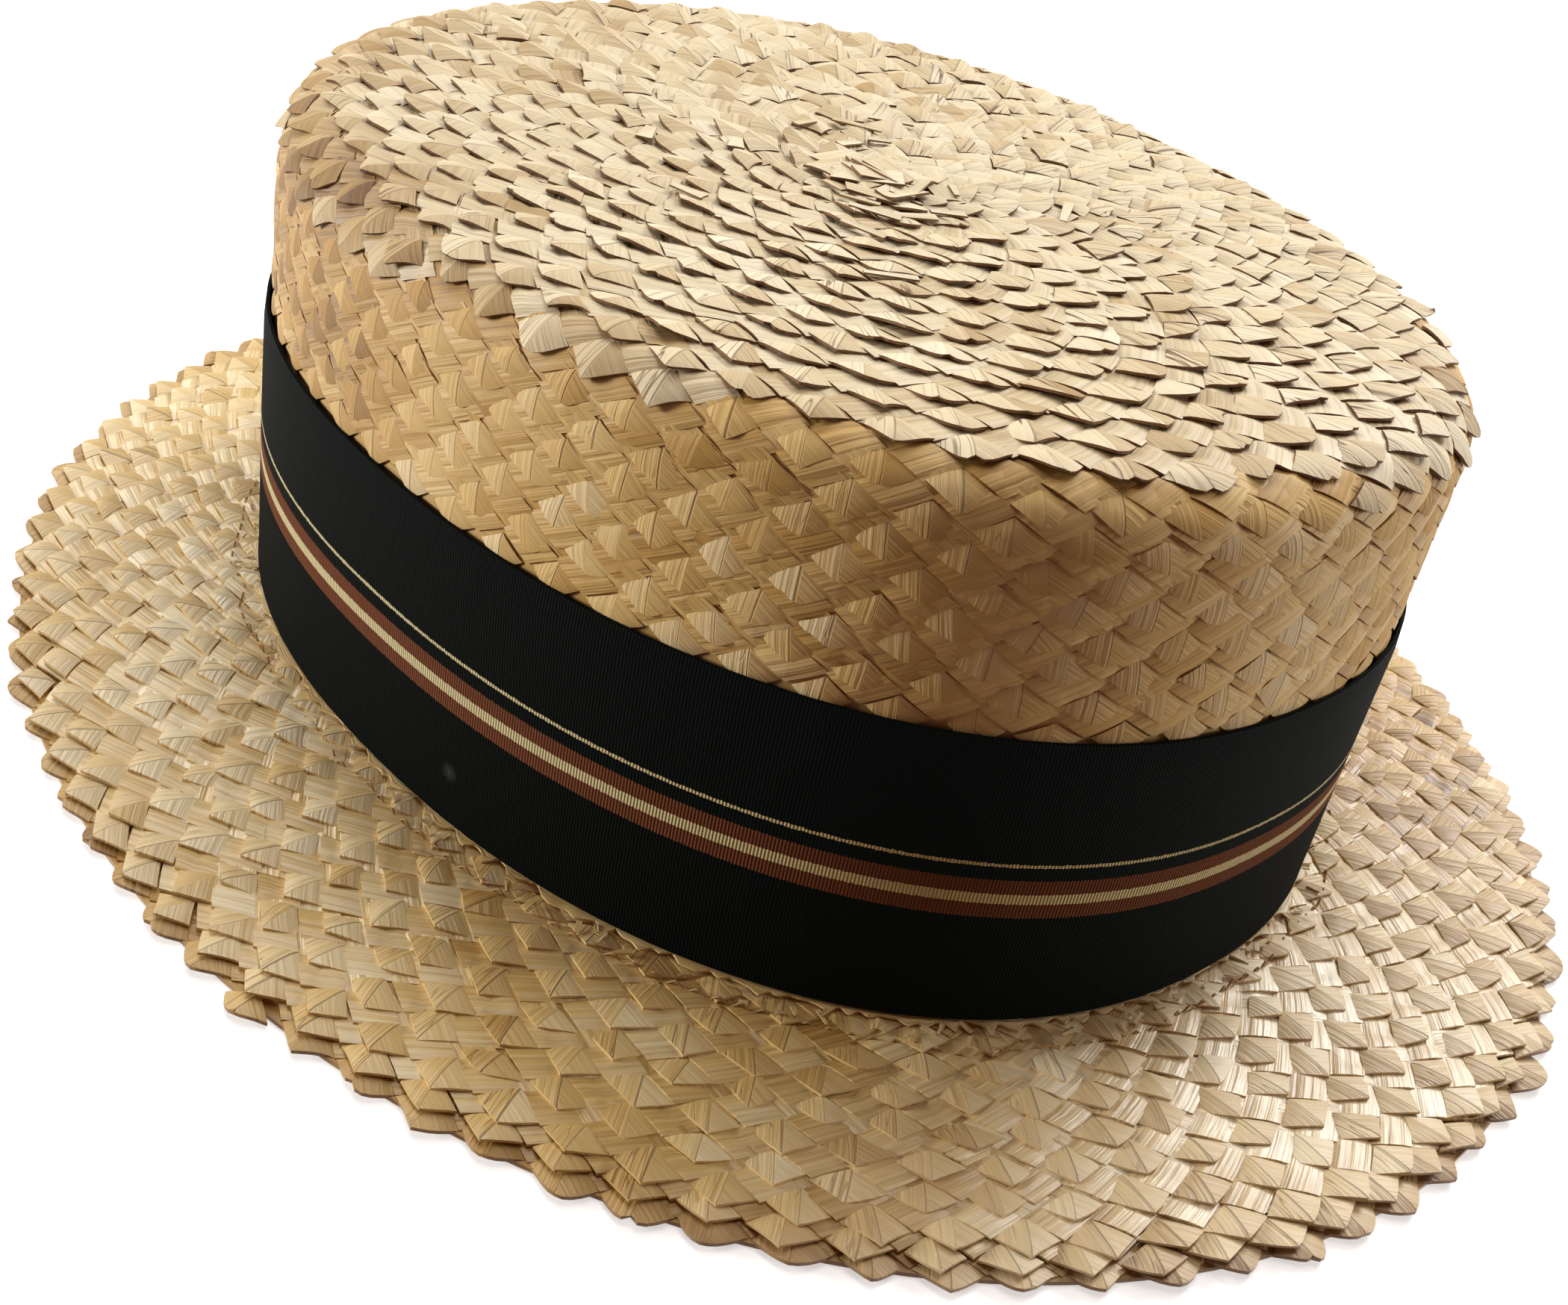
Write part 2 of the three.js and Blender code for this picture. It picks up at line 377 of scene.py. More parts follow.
TIP_EXPOSURE, SIDE_EXPOSURE = 5.9, 4.6
SPIRAL_START, SEAM_ANGLE = 6.0, 0.9
RIBBON_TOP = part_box("hat_band")[1].z / MM
TIP_END = FLAT_RUN + 0.72 * (WALL_RUN - FLAT_RUN)
SIDE_END = run_at(RIBBON_TOP) + 5.0
crown_run = np.linspace(SPIRAL_START, SIDE_END, 20000)
crown_exposure = np.interp(crown_run, [TIP_END - 3, TIP_END + 3], [TIP_EXPOSURE, SIDE_EXPOSURE])
crown_places = sewn_spiral(crown_skin, crown_run, crown_exposure, PITCH, SEAM_ANGLE)

# Teeth stand off where the braid turns over the corner. The bleached part reaches further down on the sagged
# side and at the front. Its tone carries painted shade: darker towards the corner, most on the sagged side,
# at the back and at the front.
corner_stand = 0.22 * np.exp(-((crown_places[1] - FLAT_RUN - 9.0) / 5.0) ** 2)[:, None]
tip_end = TIP_END + 8.0 * near(crown_places[0], SAGGED_SIDE_AT, SAGGED_SIDE_SPREAD) + 2.5 * near(crown_places[0], 290, 38)
on_tip = crown_places[1] <= tip_end
tip_places = [value[on_tip] for value in crown_places]
tip_angle, tip_run, _ = tip_places
tip_sagged_side_shade = near(tip_angle, SAGGED_SIDE_AT, SAGGED_SIDE_SPREAD) ** 2
tip_shade = np.clip((tip_run - FLAT_RUN + 4) / 10, 0, 1) * (0.08 + 0.1 * tip_sagged_side_shade)
tip_shade += 0.1 * np.clip(tip_run * np.sin(tip_angle) / 80, 0, 1)
tip_shade += 0.18 * np.clip((tip_run - FLAT_RUN - 4) / 6, 0, 1) * tip_sagged_side_shade
tip_shade += 0.06 * near(tip_angle, 235, 40) * np.clip(tip_run / 60, 0, 1)
tip_shade = tip_shade[:, None]
tip_width = 9.6 - 1.1 * near(tip_angle, 310, 50)[:, None]

# Bleached palm straw: pale and dry from the sun, so it looks creamy and almost matt, with thin brown creases.
bleached_straw = straw(
    "bleached_palm_straw", raw="#6c4820", dark="#ab8c54", middle="#d9c9a3", pale="#ede4c7",
    roughness=0.55, sheen_side=(280, 0.07, 0.15),
)
tip_braid = braid(
    crown_skin, tip_places, np.random.default_rng(11), TIP_EXPOSURE,
    width=tip_width, length=6.7, thickness=0.42,
    lap=0.7, lift=0.32, ridge=0.42, stand=corner_stand[on_tip], sink=0.5, ragged=0.42, rounded=0.02,
    # Rims take the darkest raw tone: the brown of the cut edges, with painted shade of the gap under each
    # tooth.
    tooth_tone=0.64 - tip_shade, half_tone=0.06, strand_tone=0.66 - tip_shade, strand_tuck_shade=0.1, rim_tone=-0.1,
    creases=2.0,
)
tip = make_piece("crown_tip_braid", tip_braid, bleached_straw)
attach(tip, "root")
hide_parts("crown")


# Button of the spiral
# The first turns of the braid, too tight to lie flat: loose leaves of the same straw folded over each other
# in a small spiral, with slivers that have come loose around it, all held by the turns sewn over them.
BUTTON = (2.5, 1.3)


def tip_plate(across, towards):
    """Level plate at the height of the tip: across is X and towards is minus Y, in mm from the button."""
    return np.stack([BUTTON[0] + across, BUTTON[1] - towards, np.full_like(across, CROWN_TOP)], -1)


def scraps(skin, places, length, width, turn, height, tilt, curl, thickness, pattern, tones, rng):
    """Loose pieces of leaf: rectangles that narrow to one end, turned by an angle on the skin, tilted along
    their length and curled across it by a parabola."""
    sizes = (length, width, turn, height, tilt, curl)
    length, width, turn, height, tilt, curl = (value[:, None] for value in sizes)
    _, a, b, _ = pattern
    along, aside = (a - 0.5) * length, (b - 0.5) * width * (1 - 0.35 * a)
    across = along * np.cos(turn) - aside * np.sin(turn)
    outwards = along * np.sin(turn) + aside * np.cos(turn)
    rise = height + tilt * along + curl * (2 * b - 1) ** 2
    return leaves(skin, places, across, outwards, rise, thickness, pattern, tones, rng, silk=0.2, creases=0.5)


def scrap_tones(tone, rim_tone):
    """Tones of the two halves and the rim of each scrap."""
    return np.concatenate([tone, np.full((len(tone), 1), rim_tone)], 1)


button_rng = np.random.default_rng(5)
count = 18
step = np.arange(count)
radius, swing = 0.6 + 0.55 * step, 2.25 * step
button_places = [radius * np.cos(swing), radius * np.sin(swing), np.zeros(count)]
tone = 0.68 + 0.1 * button_rng.normal(size=(count, 2))
button_leaves = scraps(
    tip_plate, button_places,
    length=button_rng.uniform(8, 11, count),
    width=button_rng.uniform(4.5, 7, count),
    turn=swing + np.pi / 2 + 0.4 * button_rng.normal(size=count),
    height=1.3 - 0.05 * step,
    tilt=button_rng.normal(0, 0.06, count),
    curl=button_rng.normal(0, 0.2, count),
    thickness=0.45, pattern=STRAND, tones=scrap_tones(tone, -0.1), rng=button_rng,
)
count = 26
radius, swing = button_rng.uniform(4, 40, count), button_rng.uniform(0, 2 * np.pi, count)
sliver_places = [radius * np.cos(swing), radius * np.sin(swing) * 1.2, np.zeros(count)]
tone = 0.7 + 0.12 * button_rng.normal(size=(count, 2))
slivers = scraps(
    tip_plate, sliver_places,
    length=button_rng.uniform(4, 9, count),
    width=button_rng.uniform(1.2, 2.8, count),
    turn=swing + np.pi / 2 + 0.25 * button_rng.normal(size=count),
    height=button_rng.uniform(0.35, 0.6, count),
    tilt=button_rng.normal(0, 0.03, count),
    curl=button_rng.normal(0, 0.1, count),
    thickness=0.3, pattern=STRAND, tones=scrap_tones(tone, 0.1), rng=button_rng,
)
button = make_piece("crown_button", [button_leaves, slivers], bleached_straw)
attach(button, "root")


# Side of the crown
# The same braid carried on over the corner and straight down, pressed flat, and golden where it saw less sun.
# It ends one row below the ribbon's top edge; under the ribbon only the smooth bed is made.
side_places = [value[~on_tip] for value in crown_places]
side_angle, side_run, _ = side_places

# Painted light and shade on the side's tone: painted shade just below the corner, where the tip overhangs it,
# deepest at the far right; painted shade on the sagged side; a painted highlight on the front right, with
# painted shade beyond it at the far right.
under_corner_shade = 0.22 + 0.2 * near(side_angle, 278, 18)
side_painted_shading = -under_corner_shade * np.exp((tip_end[~on_tip] - side_run) / 5.0)
side_painted_shading -= 0.42 * near(side_angle, SAGGED_SIDE_AT, SAGGED_SIDE_SPREAD) ** 2
side_painted_shading += 0.14 * near(side_angle, 262, 12) - 0.3 * near(side_angle, 288, 14)
side_painted_shading = side_painted_shading[:, None]

# Golden palm straw: less bleached and pressed smooth, so it keeps a warm yellow and a soft even sheen.
golden_straw = straw(
    "golden_palm_straw", raw="#6d4a1a", dark="#b78d3f", middle="#dcbb75", pale="#f1e1b5",
    roughness=0.62, sheen_side=(150, 0.05, 0.15),
)
side_braid = braid(
    crown_skin, side_places, np.random.default_rng(23), SIDE_EXPOSURE,
    width=9.2, length=5.9, thickness=0.25,
    lap=0.28, lift=0.04, ridge=0.08, stand=corner_stand[~on_tip], sink=0.5, ragged=0.1, rounded=0.0,
    tooth_tone=0.68 + side_painted_shading, half_tone=0.05, strand_tone=0.5 + side_painted_shading * 0.55, strand_tuck_shade=0.2,
    rim_tone=0.2, creases=0.5,
)
side = make_piece("crown_side_braid", side_braid, golden_straw)
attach(side, "root")
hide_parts("crown")


# Bed of the crown
# The hidden thickness of the lapped rows of straw, made as one closed shell under the teeth. Its inside,
# where the head goes, shows the laps of the sewn spiral as low ridges.
WALL, BED = 2.0, 0.95
BED_STEP = 1.6
INSIDE_RIDGE = 0.4


def shell(points, grain, tone, capped):
    """A closed surface on a grid of points: an axis whose grain has one more step than its points joins up on
    itself, and capped closes both ends of the second axis with one face each. Faces are turned so that the
    volume, the sum of the corners' triple products, is positive."""
    rows, columns = grain.shape[:2]
    grid = np.arange(points[..., 0].size).reshape(points.shape[:2])
    grid = np.pad(grid, ((0, rows - grid.shape[0]), (0, columns - grid.shape[1])), mode="wrap")
    own = np.arange(rows * columns).reshape(rows, columns)
    quads, places = (
        np.stack([g[:-1, :-1], g[:-1, 1:], g[1:, 1:], g[1:, :-1]], -1).reshape(-1, 4) for g in (grid, own)
    )
    flat = points.reshape(-1, 3)
    lists, corners = [quads], [places]
    if capped:
        lists += [grid[:-1, 0][None], grid[:-1, -1][None, ::-1]]
        corners += [own[:-1, 0][None], own[:-1, -1][None, ::-1]]
    p, q, r, s = np.moveaxis(flat[quads], 1, 0)
    volume = np.sum(np.cross(p, q) * r) + np.sum(np.cross(p, r) * s)
    if volume < 0:
        lists, corners = [face[:, ::-1] for face in lists], [place[:, ::-1] for place in corners]
    numbers = np.concatenate([place.ravel() for place in corners])
    colour = np.tile([tone, 0.0, 0.5, 0.0], (len(numbers), 1))
    return flat, lists, grain.reshape(-1, 2)[numbers], colour, np.zeros(len(numbers))


def around(count):
    """Angles once round the hat, the last one short of the first."""
    return np.linspace(0, 2 * np.pi, count, endpoint=False)


def grid_of(first, second):
    """Two values over a grid, the first along its rows and the second along its columns."""
    return np.meshgrid(first, second, indexing="ij")


def even_grain(rows, columns, row_step, column_step):
    """Grain coordinates in mm of a grid with even steps along its rows and its columns."""
    return np.stack(grid_of(np.arange(rows) * row_step, np.arange(columns) * column_step), -1)


FOOT_RUN = run_at(CROWN_FOOT)
bed_angle, bed_run = grid_of(around(200), np.append(np.arange(0.4, FOOT_RUN, BED_STEP), FOOT_RUN))
point, normal, _ = stand_on(crown_skin, bed_angle, bed_run)
ridges = INSIDE_RIDGE * ((bed_run / SIDE_EXPOSURE + bed_angle / (2 * np.pi)) % 1.0)
outer, inner = point - normal * BED, point - normal * (WALL - ridges)[..., None]
bed_points = np.concatenate([outer, inner[:, ::-1]], 1)
bed_shell = shell(bed_points, even_grain(201, bed_points.shape[1], 3.0, BED_STEP), 0.45, True)
bed = make_piece("crown_bed", [bed_shell], golden_straw)
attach(bed, "root")


# Brim
# The same toothed braid of palm straw, sewn flat in a spiral of eight turns outwards from the crown's foot,
# then stiffened and glossed with size. The teeth point outwards and lap over the next turn.
BRIM_HALF_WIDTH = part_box("brim")[1].x / MM
BRIM_HALF_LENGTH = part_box("brim")[1].y / MM
BRIM_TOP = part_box("brim")[1].z / MM
BRIM_RUN = BRIM_HALF_WIDTH - CROWN_HALF_WIDTH
BRIM_EXPOSURE = 5.8
BRIM_FIRST, BRIM_LAST = 3.0, 43.8
INTO_WALL = 1.5


def brim_skin(angle, run):
    """Top of the brim: the run leads straight out from the crown's plan to the ellipse of the brim's edge.
    What would reach further in than the crown's wall is pressed together within the wall."""
    inside = np.minimum(run + INTO_WALL, 0)
    share = ((run - 0.95 * inside) / BRIM_RUN)[..., None]
    edge = np.stack([BRIM_HALF_WIDTH * np.cos(angle), BRIM_HALF_LENGTH * np.sin(angle)], -1)
    place = crown_plan(angle) * (1 - share) + edge * share
    return np.concatenate([place, np.full_like(run, BRIM_TOP)[..., None]], -1)


brim_run = np.linspace(BRIM_FIRST, BRIM_LAST + BRIM_EXPOSURE, 12000)
brim_exposure = np.full(len(brim_run), BRIM_EXPOSURE)
brim_angle, brim_run, brim_slope = sewn_spiral(brim_skin, brim_run, brim_exposure, PITCH, SEAM_ANGLE)
brim_sink = 0.75 + 0.45 * np.clip((brim_run - BRIM_LAST) / 1.0, 0, 1)[:, None]
brim_places = [brim_angle, np.minimum(brim_run, BRIM_LAST), brim_slope * (brim_run < BRIM_LAST)]

# Painted light and shade on the brim's tone: painted light on the left, where teeth and strands are also more
# even in tone, and painted shade in front and on the right. The teeth are flattest in front.
even_lit_left = near(brim_angle, 172, 35)[:, None]
brim_light_and_shade = 0.1 - 0.2 * near(brim_angle, 222, 22) - 0.4 * near(brim_angle, 318, 22)
brim_light_and_shade = brim_light_and_shade[:, None] + 0.14 * even_lit_left
inner_rows = brim_places[1] < BRIM_LAST - 6
brim_ridge = 0.4 - 0.26 * (near(brim_angle, 222, 32) * inner_rows)[:, None]

# Tan palm straw: coated with size, so it is darker and shines in streaks where the light meets it.
tan_straw = straw(
    "tan_palm_straw", raw="#5f3d18", dark="#ad8644", middle="#d4b677", pale="#f1e4be",
    roughness=0.33, sheen_side=(280, 0.07, 0.32),
)
brim_braid = braid(
    brim_skin, brim_places, np.random.default_rng(37), BRIM_EXPOSURE,
    width=9.4, length=6.6, thickness=0.42,
    lap=0.56, lift=0.12, ridge=brim_ridge, stand=0.0, sink=brim_sink, ragged=0.08, rounded=0.0,
    tooth_tone=0.58 + brim_light_and_shade / 2 + 0.1 * even_lit_left, half_tone=-0.05, strand_tone=0.62 + brim_light_and_shade - 0.1 * even_lit_left,
    # Rims are pale: a painted highlight where light catches the thin edges of the teeth.
    strand_tuck_shade=0.15, rim_tone=0.6, creases=1.0,
)
brim = make_piece("brim_braid", brim_braid, tan_straw)
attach(brim, "root")
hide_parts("brim")


# Edge of the brim
# The last turn of the same braid, sewn on under the one before to bind the edge, so a second row of rounder
# and darker teeth shows below the first and the hat rests on it.
EDGE_DROP, EDGE_OVERHANG = 1.9, 0.2


def edge_skin(angle, run):
    """Top of the last row: the brim's own skin, lower by a little more than one thickness of braid."""
    return brim_skin(angle, run) - np.array([0, 0, EDGE_DROP])


edge_turn = np.linspace(0, 2 * np.pi, 2000)
edge_steps = np.linalg.norm(np.diff(brim_skin(edge_turn, np.full(len(edge_turn), BRIM_RUN)), axis=0), axis=1)
edge_at = np.concatenate([[0], np.cumsum(edge_steps)])
count = int(edge_at[-1] / PITCH)
edge_angle = np.interp((np.arange(count) + 0.5) * edge_at[-1] / count, edge_at, edge_turn)
edge_places = [edge_angle, np.full(count, BRIM_RUN + EDGE_OVERHANG), np.zeros(count)]
edge_braid = braid(
    edge_skin, edge_places, np.random.default_rng(41), BRIM_EXPOSURE,
    width=9.8, length=7.2, thickness=0.6,
    lap=0.2, lift=0.1, ridge=0.5, stand=0.0, sink=0.2, ragged=0.4, rounded=0.15,
    tooth_tone=0.42, half_tone=-0.05, strand_tone=0.42, strand_tuck_shade=0.0, rim_tone=0.25, creases=0.8,
)
edge_row = make_piece("brim_edge_braid", edge_braid, tan_straw)
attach(edge_row, "root")
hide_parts("brim")


# Bed of the brim
# The hidden thickness of the brim's lapped rows and its underside, a closed ring of straw with the laps as
# low ridges, and below its edge a second flat ring that the last row is sewn to.
RING_LAST, RING_STEP = 37.0, 1.9
UNDERSIDE_RIDGE = 0.3
ring_angle, ring_run = grid_of(around(240), np.append(np.arange(-1.5, RING_LAST, RING_STEP), RING_LAST))
point, normal, _ = stand_on(brim_skin, ring_angle, ring_run)
ridges = UNDERSIDE_RIDGE * ((ring_run / BRIM_EXPOSURE + ring_angle / (2 * np.pi)) % 1.0)
ring = np.concatenate([point - normal * 1.2, (point - normal * (2.2 - ridges)[..., None])[:, ::-1]], 1)
edge_ring_angle, edge_ring_run = grid_of(around(240), np.linspace(33.0, BRIM_RUN - 2.6, 6))
point, normal, _ = stand_on(brim_skin, edge_ring_angle, edge_ring_run)
edge_ring = np.concatenate([point - normal * 2.5, (point - normal * 3.2)[:, ::-1]], 1)
rings = [
    shell(ring, even_grain(241, ring.shape[1] + 1, 3.0, RING_STEP), 0.45, False),
    shell(edge_ring, even_grain(241, edge_ring.shape[1] + 1, 3.5, RING_STEP), 0.35, False),
]
brim_bed = make_piece("brim_bed", rings, tan_straw)
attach(brim_bed, "root")


# Ribbon
# A woven ribbed ribbon, black with one thin cream line and a rust and cream stripe, drawn tight round the
# crown. It is one length, wound once, with its end lapped over its beginning at the back.
RIBBON_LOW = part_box("hat_band")[0].z / MM
RIBBON_WIDTH = RIBBON_TOP - RIBBON_LOW - 0.6
RIBBON_START, RIBBON_LAP = 0.75, 0.22
RIBBON_INSIDE, RIBBON_OUTSIDE, LAP_LIFT = 0.35, 0.78, 0.5
SELVEDGE, SLACK, DRAWN_IN = 0.08, 0.12, 0.4
RIB_SPACING = 0.5
ribbon_angle = RIBBON_START + np.linspace(0, 2 * np.pi + RIBBON_LAP, 361)
rise = np.linspace(0, RIBBON_WIDTH, 15)
lap = np.interp(ribbon_angle, ribbon_angle[-1] - np.array([0.30, 0.24]), [0.0, LAP_LIFT])
band_angle, band_rise = grid_of(ribbon_angle, rise)
point, normal, _ = stand_on(crown_skin, band_angle, run_at(RIBBON_LOW) - band_rise)
selvedge = SELVEDGE * (np.abs(2 * band_rise / RIBBON_WIDTH - 1) > 0.95)
slack = SLACK * np.sin(3 * band_angle + 1.0) * np.sin(np.pi * band_rise / RIBBON_WIDTH) ** 2
drawn = DRAWN_IN * np.clip((band_rise - RIBBON_WIDTH + 4) / 4, 0, 1) ** 2
inner = point + normal * (RIBBON_INSIDE + lap[:, None] + slack - drawn)[..., None]
outer = point + normal * (RIBBON_OUTSIDE + lap[:, None] + slack - drawn + selvedge)[..., None]
band_points = np.swapaxes(np.concatenate([outer, inner[:, ::-1]], 1), 0, 1)
length = np.concatenate([[0], np.cumsum(np.linalg.norm(np.diff(outer[:, 7], axis=0), axis=1))])
grain_v, grain_u = grid_of(np.concatenate([rise, rise[::-1], rise[:1]]), length)

# Ribbed ribbon: fine cross ribs of dull thread swallow light, so the black stays deep and the stripes matt.
ribbon_cloth = bpy.data.materials.new("ribbed_ribbon")
ribbon_cloth.use_nodes = True
tree = ribbon_cloth.node_tree
shader = tree.nodes["Principled BSDF"]
grain = add(tree, "ShaderNodeUVMap", uv_map="grain").outputs["UV"]
wobble = add(tree, "ShaderNodeMapping", {"Vector": grain, "Scale": (1.6, 1.2, 1)}).outputs[0]
loose = add(tree, "ShaderNodeTexNoise", {"Vector": wobble, "Scale": 1.0, "Detail": 1.0}).outputs[0]
sides = add(tree, "ShaderNodeSeparateXYZ", {"Vector": grain}).outputs
rib_wave = {"Vector": grain, "Scale": WAVE_PERIOD / RIB_SPACING}
ribs = add(tree, "ShaderNodeTexWave", rib_wave, wave_type="BANDS").outputs["Fac"]
shifted = add(tree, "ShaderNodeMath", {0: loose, 1: 0.4, 2: sides[1]}, operation="MULTIPLY_ADD").outputs[0]
share = add(tree, "ShaderNodeMath", {0: shifted, 1: RIBBON_WIDTH}, operation="DIVIDE").outputs[0]
stripes = add(tree, "ShaderNodeValToRGB", {"Fac": share})
stripes.color_ramp.interpolation = "CONSTANT"
BLACK, RUST, CREAM, LINT = "#020705", "#74462f", "#dcd1a2", "#8d9a9c"
STRIPES = ((19.4, RUST), (21.9, CREAM), (23.6, RUST), (26.0, BLACK), (28.35, CREAM), (28.9, BLACK))
stripes.color_ramp.elements[0].color = linear(BLACK)
stripes.color_ramp.elements.remove(stripes.color_ramp.elements[1])
for height, colour in STRIPES:
    stripes.color_ramp.elements.new(height / RIBBON_WIDTH).color = linear(colour)
weave = add(tree, "ShaderNodeMapRange", {0: ribs, 1: 0.0, 2: 1.0, 3: 0.45, 4: 1.1}).outputs[0]
woven = {0: 1.0, 6: stripes.outputs[0], 7: weave}
cloth = add(tree, "ShaderNodeMix", woven, data_type="RGBA", blend_type="MULTIPLY").outputs[2]
LINT_ANGLE, LINT_HEIGHT, LINT_RADIUS = 3.345, 13.0, 1.8
lint_at = (np.interp(LINT_ANGLE, ribbon_angle, length), LINT_HEIGHT - RIBBON_LOW, 0.0)
near_lint = add(tree, "ShaderNodeVectorMath", {0: grain, 1: lint_at}, operation="DISTANCE").outputs["Value"]
linty = add(tree, "ShaderNodeMapRange", {0: near_lint, 1: 0.0, 2: LINT_RADIUS, 3: 0.12, 4: 0.0}).outputs[0]
dusty = add(tree, "ShaderNodeMix", {0: linty, 6: cloth, 7: linear(LINT)}, data_type="RGBA").outputs[2]
tree.links.new(dusty, shader.inputs["Base Color"])
bump = add(tree, "ShaderNodeBump", {"Height": ribs, "Strength": 0.5, "Distance": 0.2 * MM})
tree.links.new(bump.outputs[0], shader.inputs["Normal"])
shader.inputs["Roughness"].default_value = 0.85
shader.inputs["Specular IOR Level"].default_value = 0.06
ribbon_shell = shell(band_points, np.stack([grain_u, grain_v], -1), 0.5, True)
ribbon = make_piece("ribbon", [ribbon_shell], ribbon_cloth)
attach(ribbon, "root")
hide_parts("hat_band")


# Foot of the crown
# Where the crown's last row is turned out under the ribbon and lies on the brim: a narrow pale flange of
# straw with a frayed edge, and loose ends of straw pressed flat along it.
FLANGE, FLANGE_THICKNESS = 1.3, 0.35
foot_rng = np.random.default_rng(8)


def unsteady(angle, count, mean, amount):
    """A value that wanders round the hat: random values at even angles, with straight lines between them."""
    return np.interp(angle, around(count), foot_rng.normal(mean, amount, count), period=2 * np.pi)


foot_angle, foot_run = grid_of(around(1200), np.linspace(-1.0, FLANGE, 6))
frays = unsteady(foot_angle[:, 0], 420, 0, 0.7)
foot_run = foot_run + frays[:, None] * np.clip(foot_run / FLANGE, 0, 1) ** 2
point, normal, _ = stand_on(brim_skin, foot_angle, foot_run)
crumple = unsteady(foot_angle[:, 0], 300, 0, 0.06)
rise = 0.3 - 0.07 * foot_run + crumple[:, None] * np.clip(foot_run / FLANGE, 0, 1)
flange_top, flange_under = (point + normal * level[..., None] for level in (rise, rise - FLANGE_THICKNESS))
flange = np.concatenate([flange_top, flange_under[:, ::-1]], 1)
foot_turn = np.linspace(0, 2 * np.pi, 2000)
foot_steps = np.gradient(brim_skin(foot_turn, np.full(len(foot_turn), 4.0)), axis=0)
foot_at = np.cumsum(np.linalg.norm(foot_steps, axis=1))
count = 170
fray_angle = np.interp(foot_rng.uniform(0, foot_at[-1], count), foot_at, foot_turn)
tone = 0.62 + 0.08 * foot_rng.normal(size=(count, 2))
frayed = scraps(
    brim_skin, [fray_angle, foot_rng.normal(2.9, 1.1, count), np.zeros(count)],
    length=foot_rng.uniform(1.0, 2.8, count),
    width=foot_rng.uniform(0.4, 1.1, count),
    turn=foot_rng.uniform(0, np.pi, count),
    height=foot_rng.uniform(0.05, 0.3, count),
    tilt=foot_rng.normal(0, 0.06, count),
    curl=foot_rng.normal(0, 0.06, count),
    thickness=0.18, pattern=TUCKED, tones=scrap_tones(tone, 0.6), rng=foot_rng,
)
flange_shell = shell(flange, even_grain(1201, flange.shape[1] + 1, 0.5, 1.0), 0.62, False)
foot = make_piece("foot_fray", [flange_shell, frayed], tan_straw)
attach(foot, "root")


# Stitches at the foot
# One brown cotton thread sewn round by hand, which holds the flange of the crown to the brim. It dips through
# the braid and comes up again in short uneven stitches, so only their tops show.
THREAD_RUN, THREAD_WANDER = 5.0, 0.5
STITCHES, STITCH_RISE = 200, 0.5
THREAD_HALF_WIDTH, THREAD_HALF_HEIGHT = 0.17, 0.15
thread_angle, thread_turn = grid_of(around(2000), around(6))
stitch = STITCH_RISE * np.sin(thread_angle * STITCHES) + unsteady(thread_angle, 60, -0.6, 0.3)
thread_run = THREAD_RUN + THREAD_WANDER * unsteady(thread_angle, 90, 0, 1)
point, normal, _ = stand_on(brim_skin, thread_angle, thread_run + THREAD_HALF_WIDTH * np.cos(thread_turn))
thread_points = point + normal * (stitch + THREAD_HALF_HEIGHT * np.sin(thread_turn))[..., None]

# Cotton thread: spun and undyed but for its brown, so it is quite matt and close to the straw in tone.
brown_thread = bpy.data.materials.new("brown_cotton_thread")
brown_thread.use_nodes = True
shader = brown_thread.node_tree.nodes["Principled BSDF"]
shader.inputs["Base Color"].default_value = linear("#a57f4b")
shader.inputs["Roughness"].default_value = 0.9
thread_shell = shell(thread_points, even_grain(2001, 7, 0.3, 0.2), 0.5, False)
thread = make_piece("foot_thread", [thread_shell], brown_thread)
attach(thread, "root")


# Floor, light and camera
# A white table top that curves up far off, lit so evenly that only the shadow by the hat shows on it. Low
# soft lamps on the left and the right show the braid, and weaker ones stand behind, above and in front.
FLOOR_HALF, FLOOR_LEVEL = 6.0, 2.0
floor_side = np.linspace(-FLOOR_HALF, FLOOR_HALF, 61)
floor_x, floor_y = grid_of(floor_side, floor_side)
far_rise = 0.4 * np.maximum(np.hypot(floor_x, floor_y) - FLOOR_LEVEL, 0) ** 2
grid = np.arange(floor_x.size).reshape(floor_x.shape)
quads = np.stack([grid[:-1, :-1], grid[1:, :-1], grid[1:, 1:], grid[:-1, 1:]], -1).reshape(-1, 4)
floor_mesh = bpy.data.meshes.new("floor")
floor_mesh.from_pydata(np.stack([floor_x, floor_y, far_rise], -1).reshape(-1, 3).tolist(), [], quads.tolist())
floor_mesh.shade_smooth()
floor = bpy.data.objects.new("floor", floor_mesh)
bpy.context.scene.collection.objects.link(floor)

# White laminate: matt and even; a little light of its own keeps it white without lighting the hat from below.
pale_table = bpy.data.materials.new("white_laminate")
pale_table.use_nodes = True
shader = pale_table.node_tree.nodes["Principled BSDF"]
shader.inputs["Base Color"].default_value = linear("#f6f5f2")
shader.inputs["Roughness"].default_value = 0.9
shader.inputs["Emission Color"].default_value = linear("#ffffff")
shader.inputs["Emission Strength"].default_value = 0.55
floor_mesh.materials.append(pale_table)
floor.visible_diffuse = False
floor.visible_shadow = False

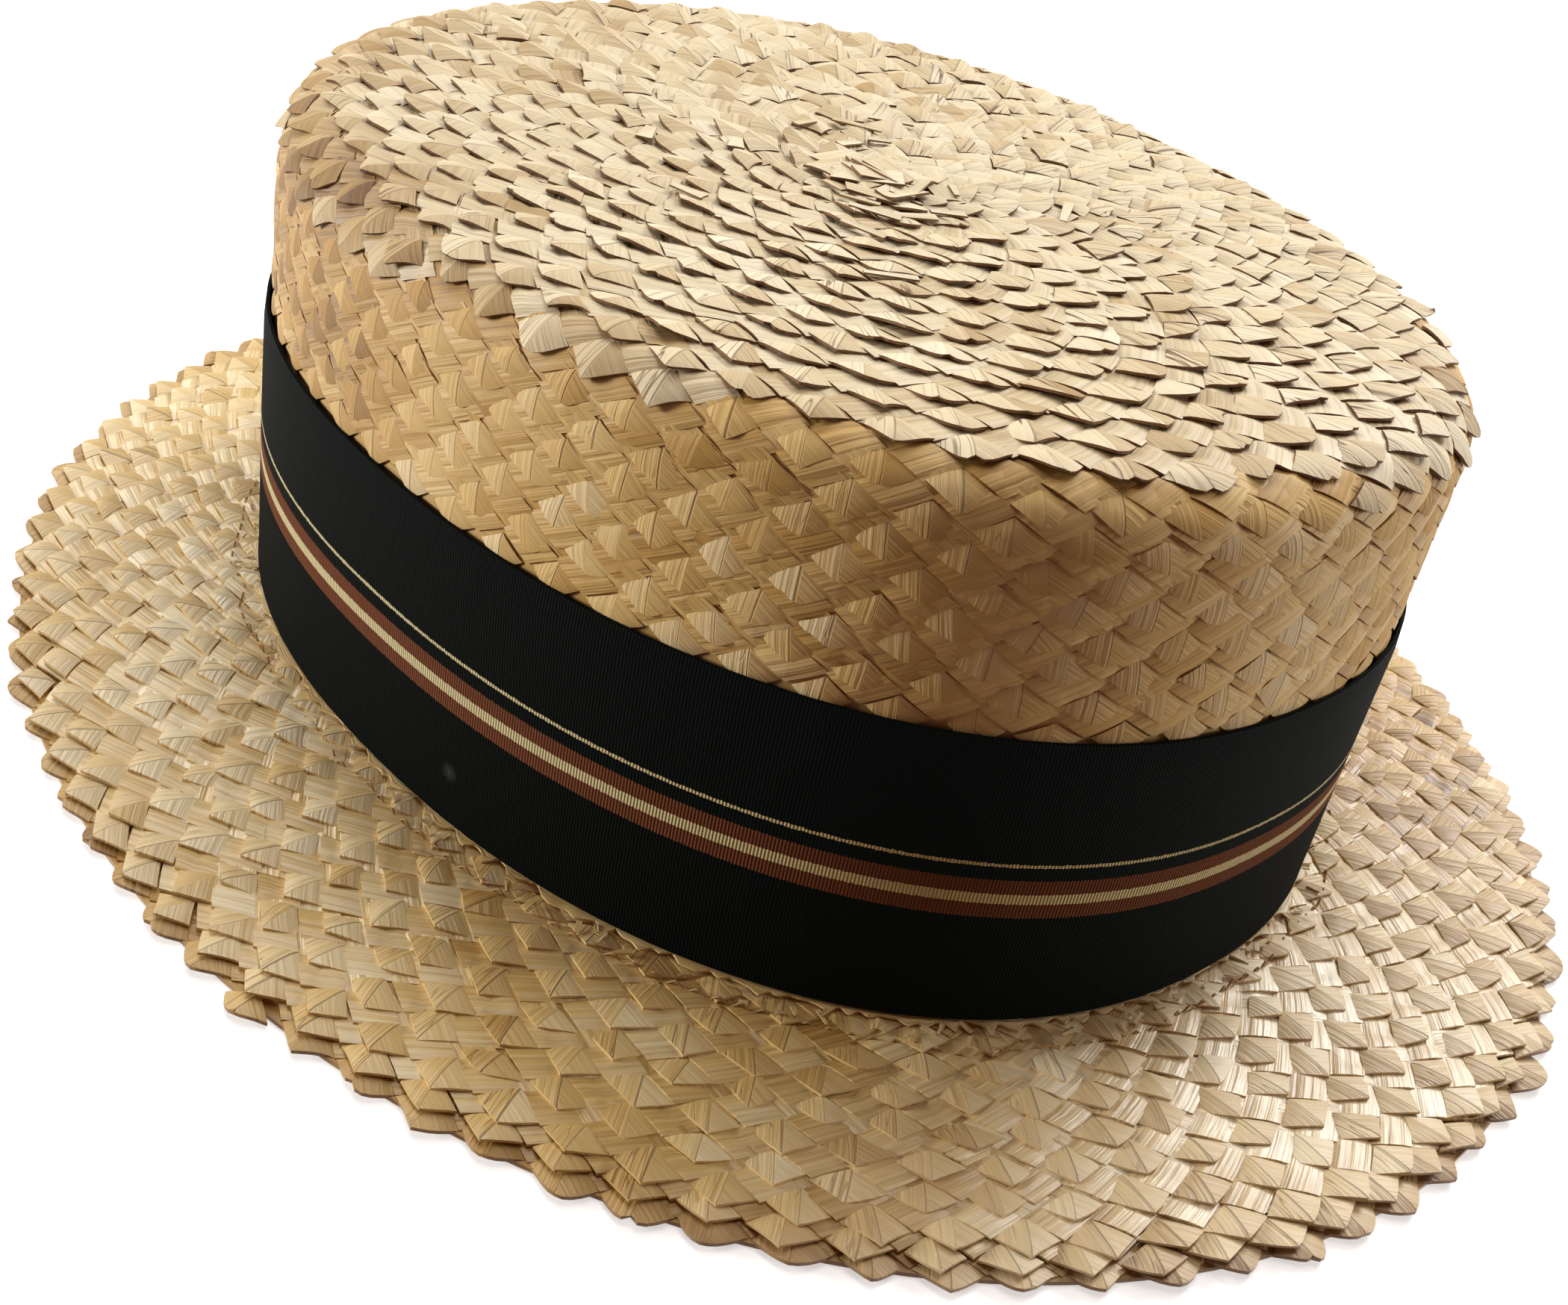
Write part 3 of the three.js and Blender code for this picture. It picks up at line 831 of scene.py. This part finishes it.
room = bpy.data.worlds.new("room")
bpy.context.scene.world = room
room.use_nodes = True
room.node_tree.nodes["Background"].inputs["Color"].default_value = linear("#ff9c38")
room.node_tree.nodes["Background"].inputs["Strength"].default_value = 0.1

LIT_POINT = Vector((0, 0, 0.05))
LAMPS = (
    ("left", (-1.1, 0.92, 0.28), 0.4, 20.8),
    ("right", (1.13, 0.16, 0.94), 0.6, 16.0),
    ("back", (0.0, 1.17, 0.9), 0.6, 5.2),
    ("window", (0.34, 0.59, 1.33), 0.6, 5.3),
    ("ceiling", (0.02, 0.0, 1.5), 0.6, 4.4),
    ("front", (1.06, -0.97, 0.25), 0.4, 9.0),
)
for name, place, size, power in LAMPS:
    lamp = bpy.data.lights.new(name, "AREA")
    lamp.size = size
    lamp.energy = power
    lamp_object = bpy.data.objects.new(name, lamp)
    turn = (LIT_POINT - Vector(place)).to_track_quat("-Z", "Y")
    lamp_object.matrix_world = Matrix.LocRotScale(Vector(place), turn, None)
    bpy.context.scene.collection.objects.link(lamp_object)

AZIMUTH, ELEVATION, ROLL = np.radians((-45.76, 32.74, 12.01))
DISTANCE, ASIDE, RAISED = 0.3137, -0.0066, -0.0388
AIM = np.array([0, 0, 0.045])
PICTURE_WIDTH, FOCAL_PIXELS = 2100, 2447.1
SENSOR = 36.0
level_out = np.cos(ELEVATION)
back = np.array([np.sin(AZIMUTH) * level_out, -np.cos(AZIMUTH) * level_out, np.sin(ELEVATION)])
level_right = np.cross([0, 0, 1], back)
level_right /= np.linalg.norm(level_right)
level_up = np.cross(back, level_right)
right = np.cos(ROLL) * level_right + np.sin(ROLL) * level_up
up = np.cos(ROLL) * level_up - np.sin(ROLL) * level_right
eye = AIM + back * DISTANCE + right * ASIDE + up * RAISED
camera = bpy.data.objects.new("camera", bpy.data.cameras.new("camera"))
camera.data.sensor_width = SENSOR
camera.data.lens = SENSOR * FOCAL_PIXELS / PICTURE_WIDTH
camera.data.clip_start = 0.01
pose = np.eye(4)
pose[:3] = np.stack([right, up, back, eye], -1)
camera.matrix_world = Matrix(pose.tolist())
bpy.context.scene.collection.objects.link(camera)
bpy.context.scene.camera = camera
bpy.context.scene.view_settings.view_transform = "Standard"
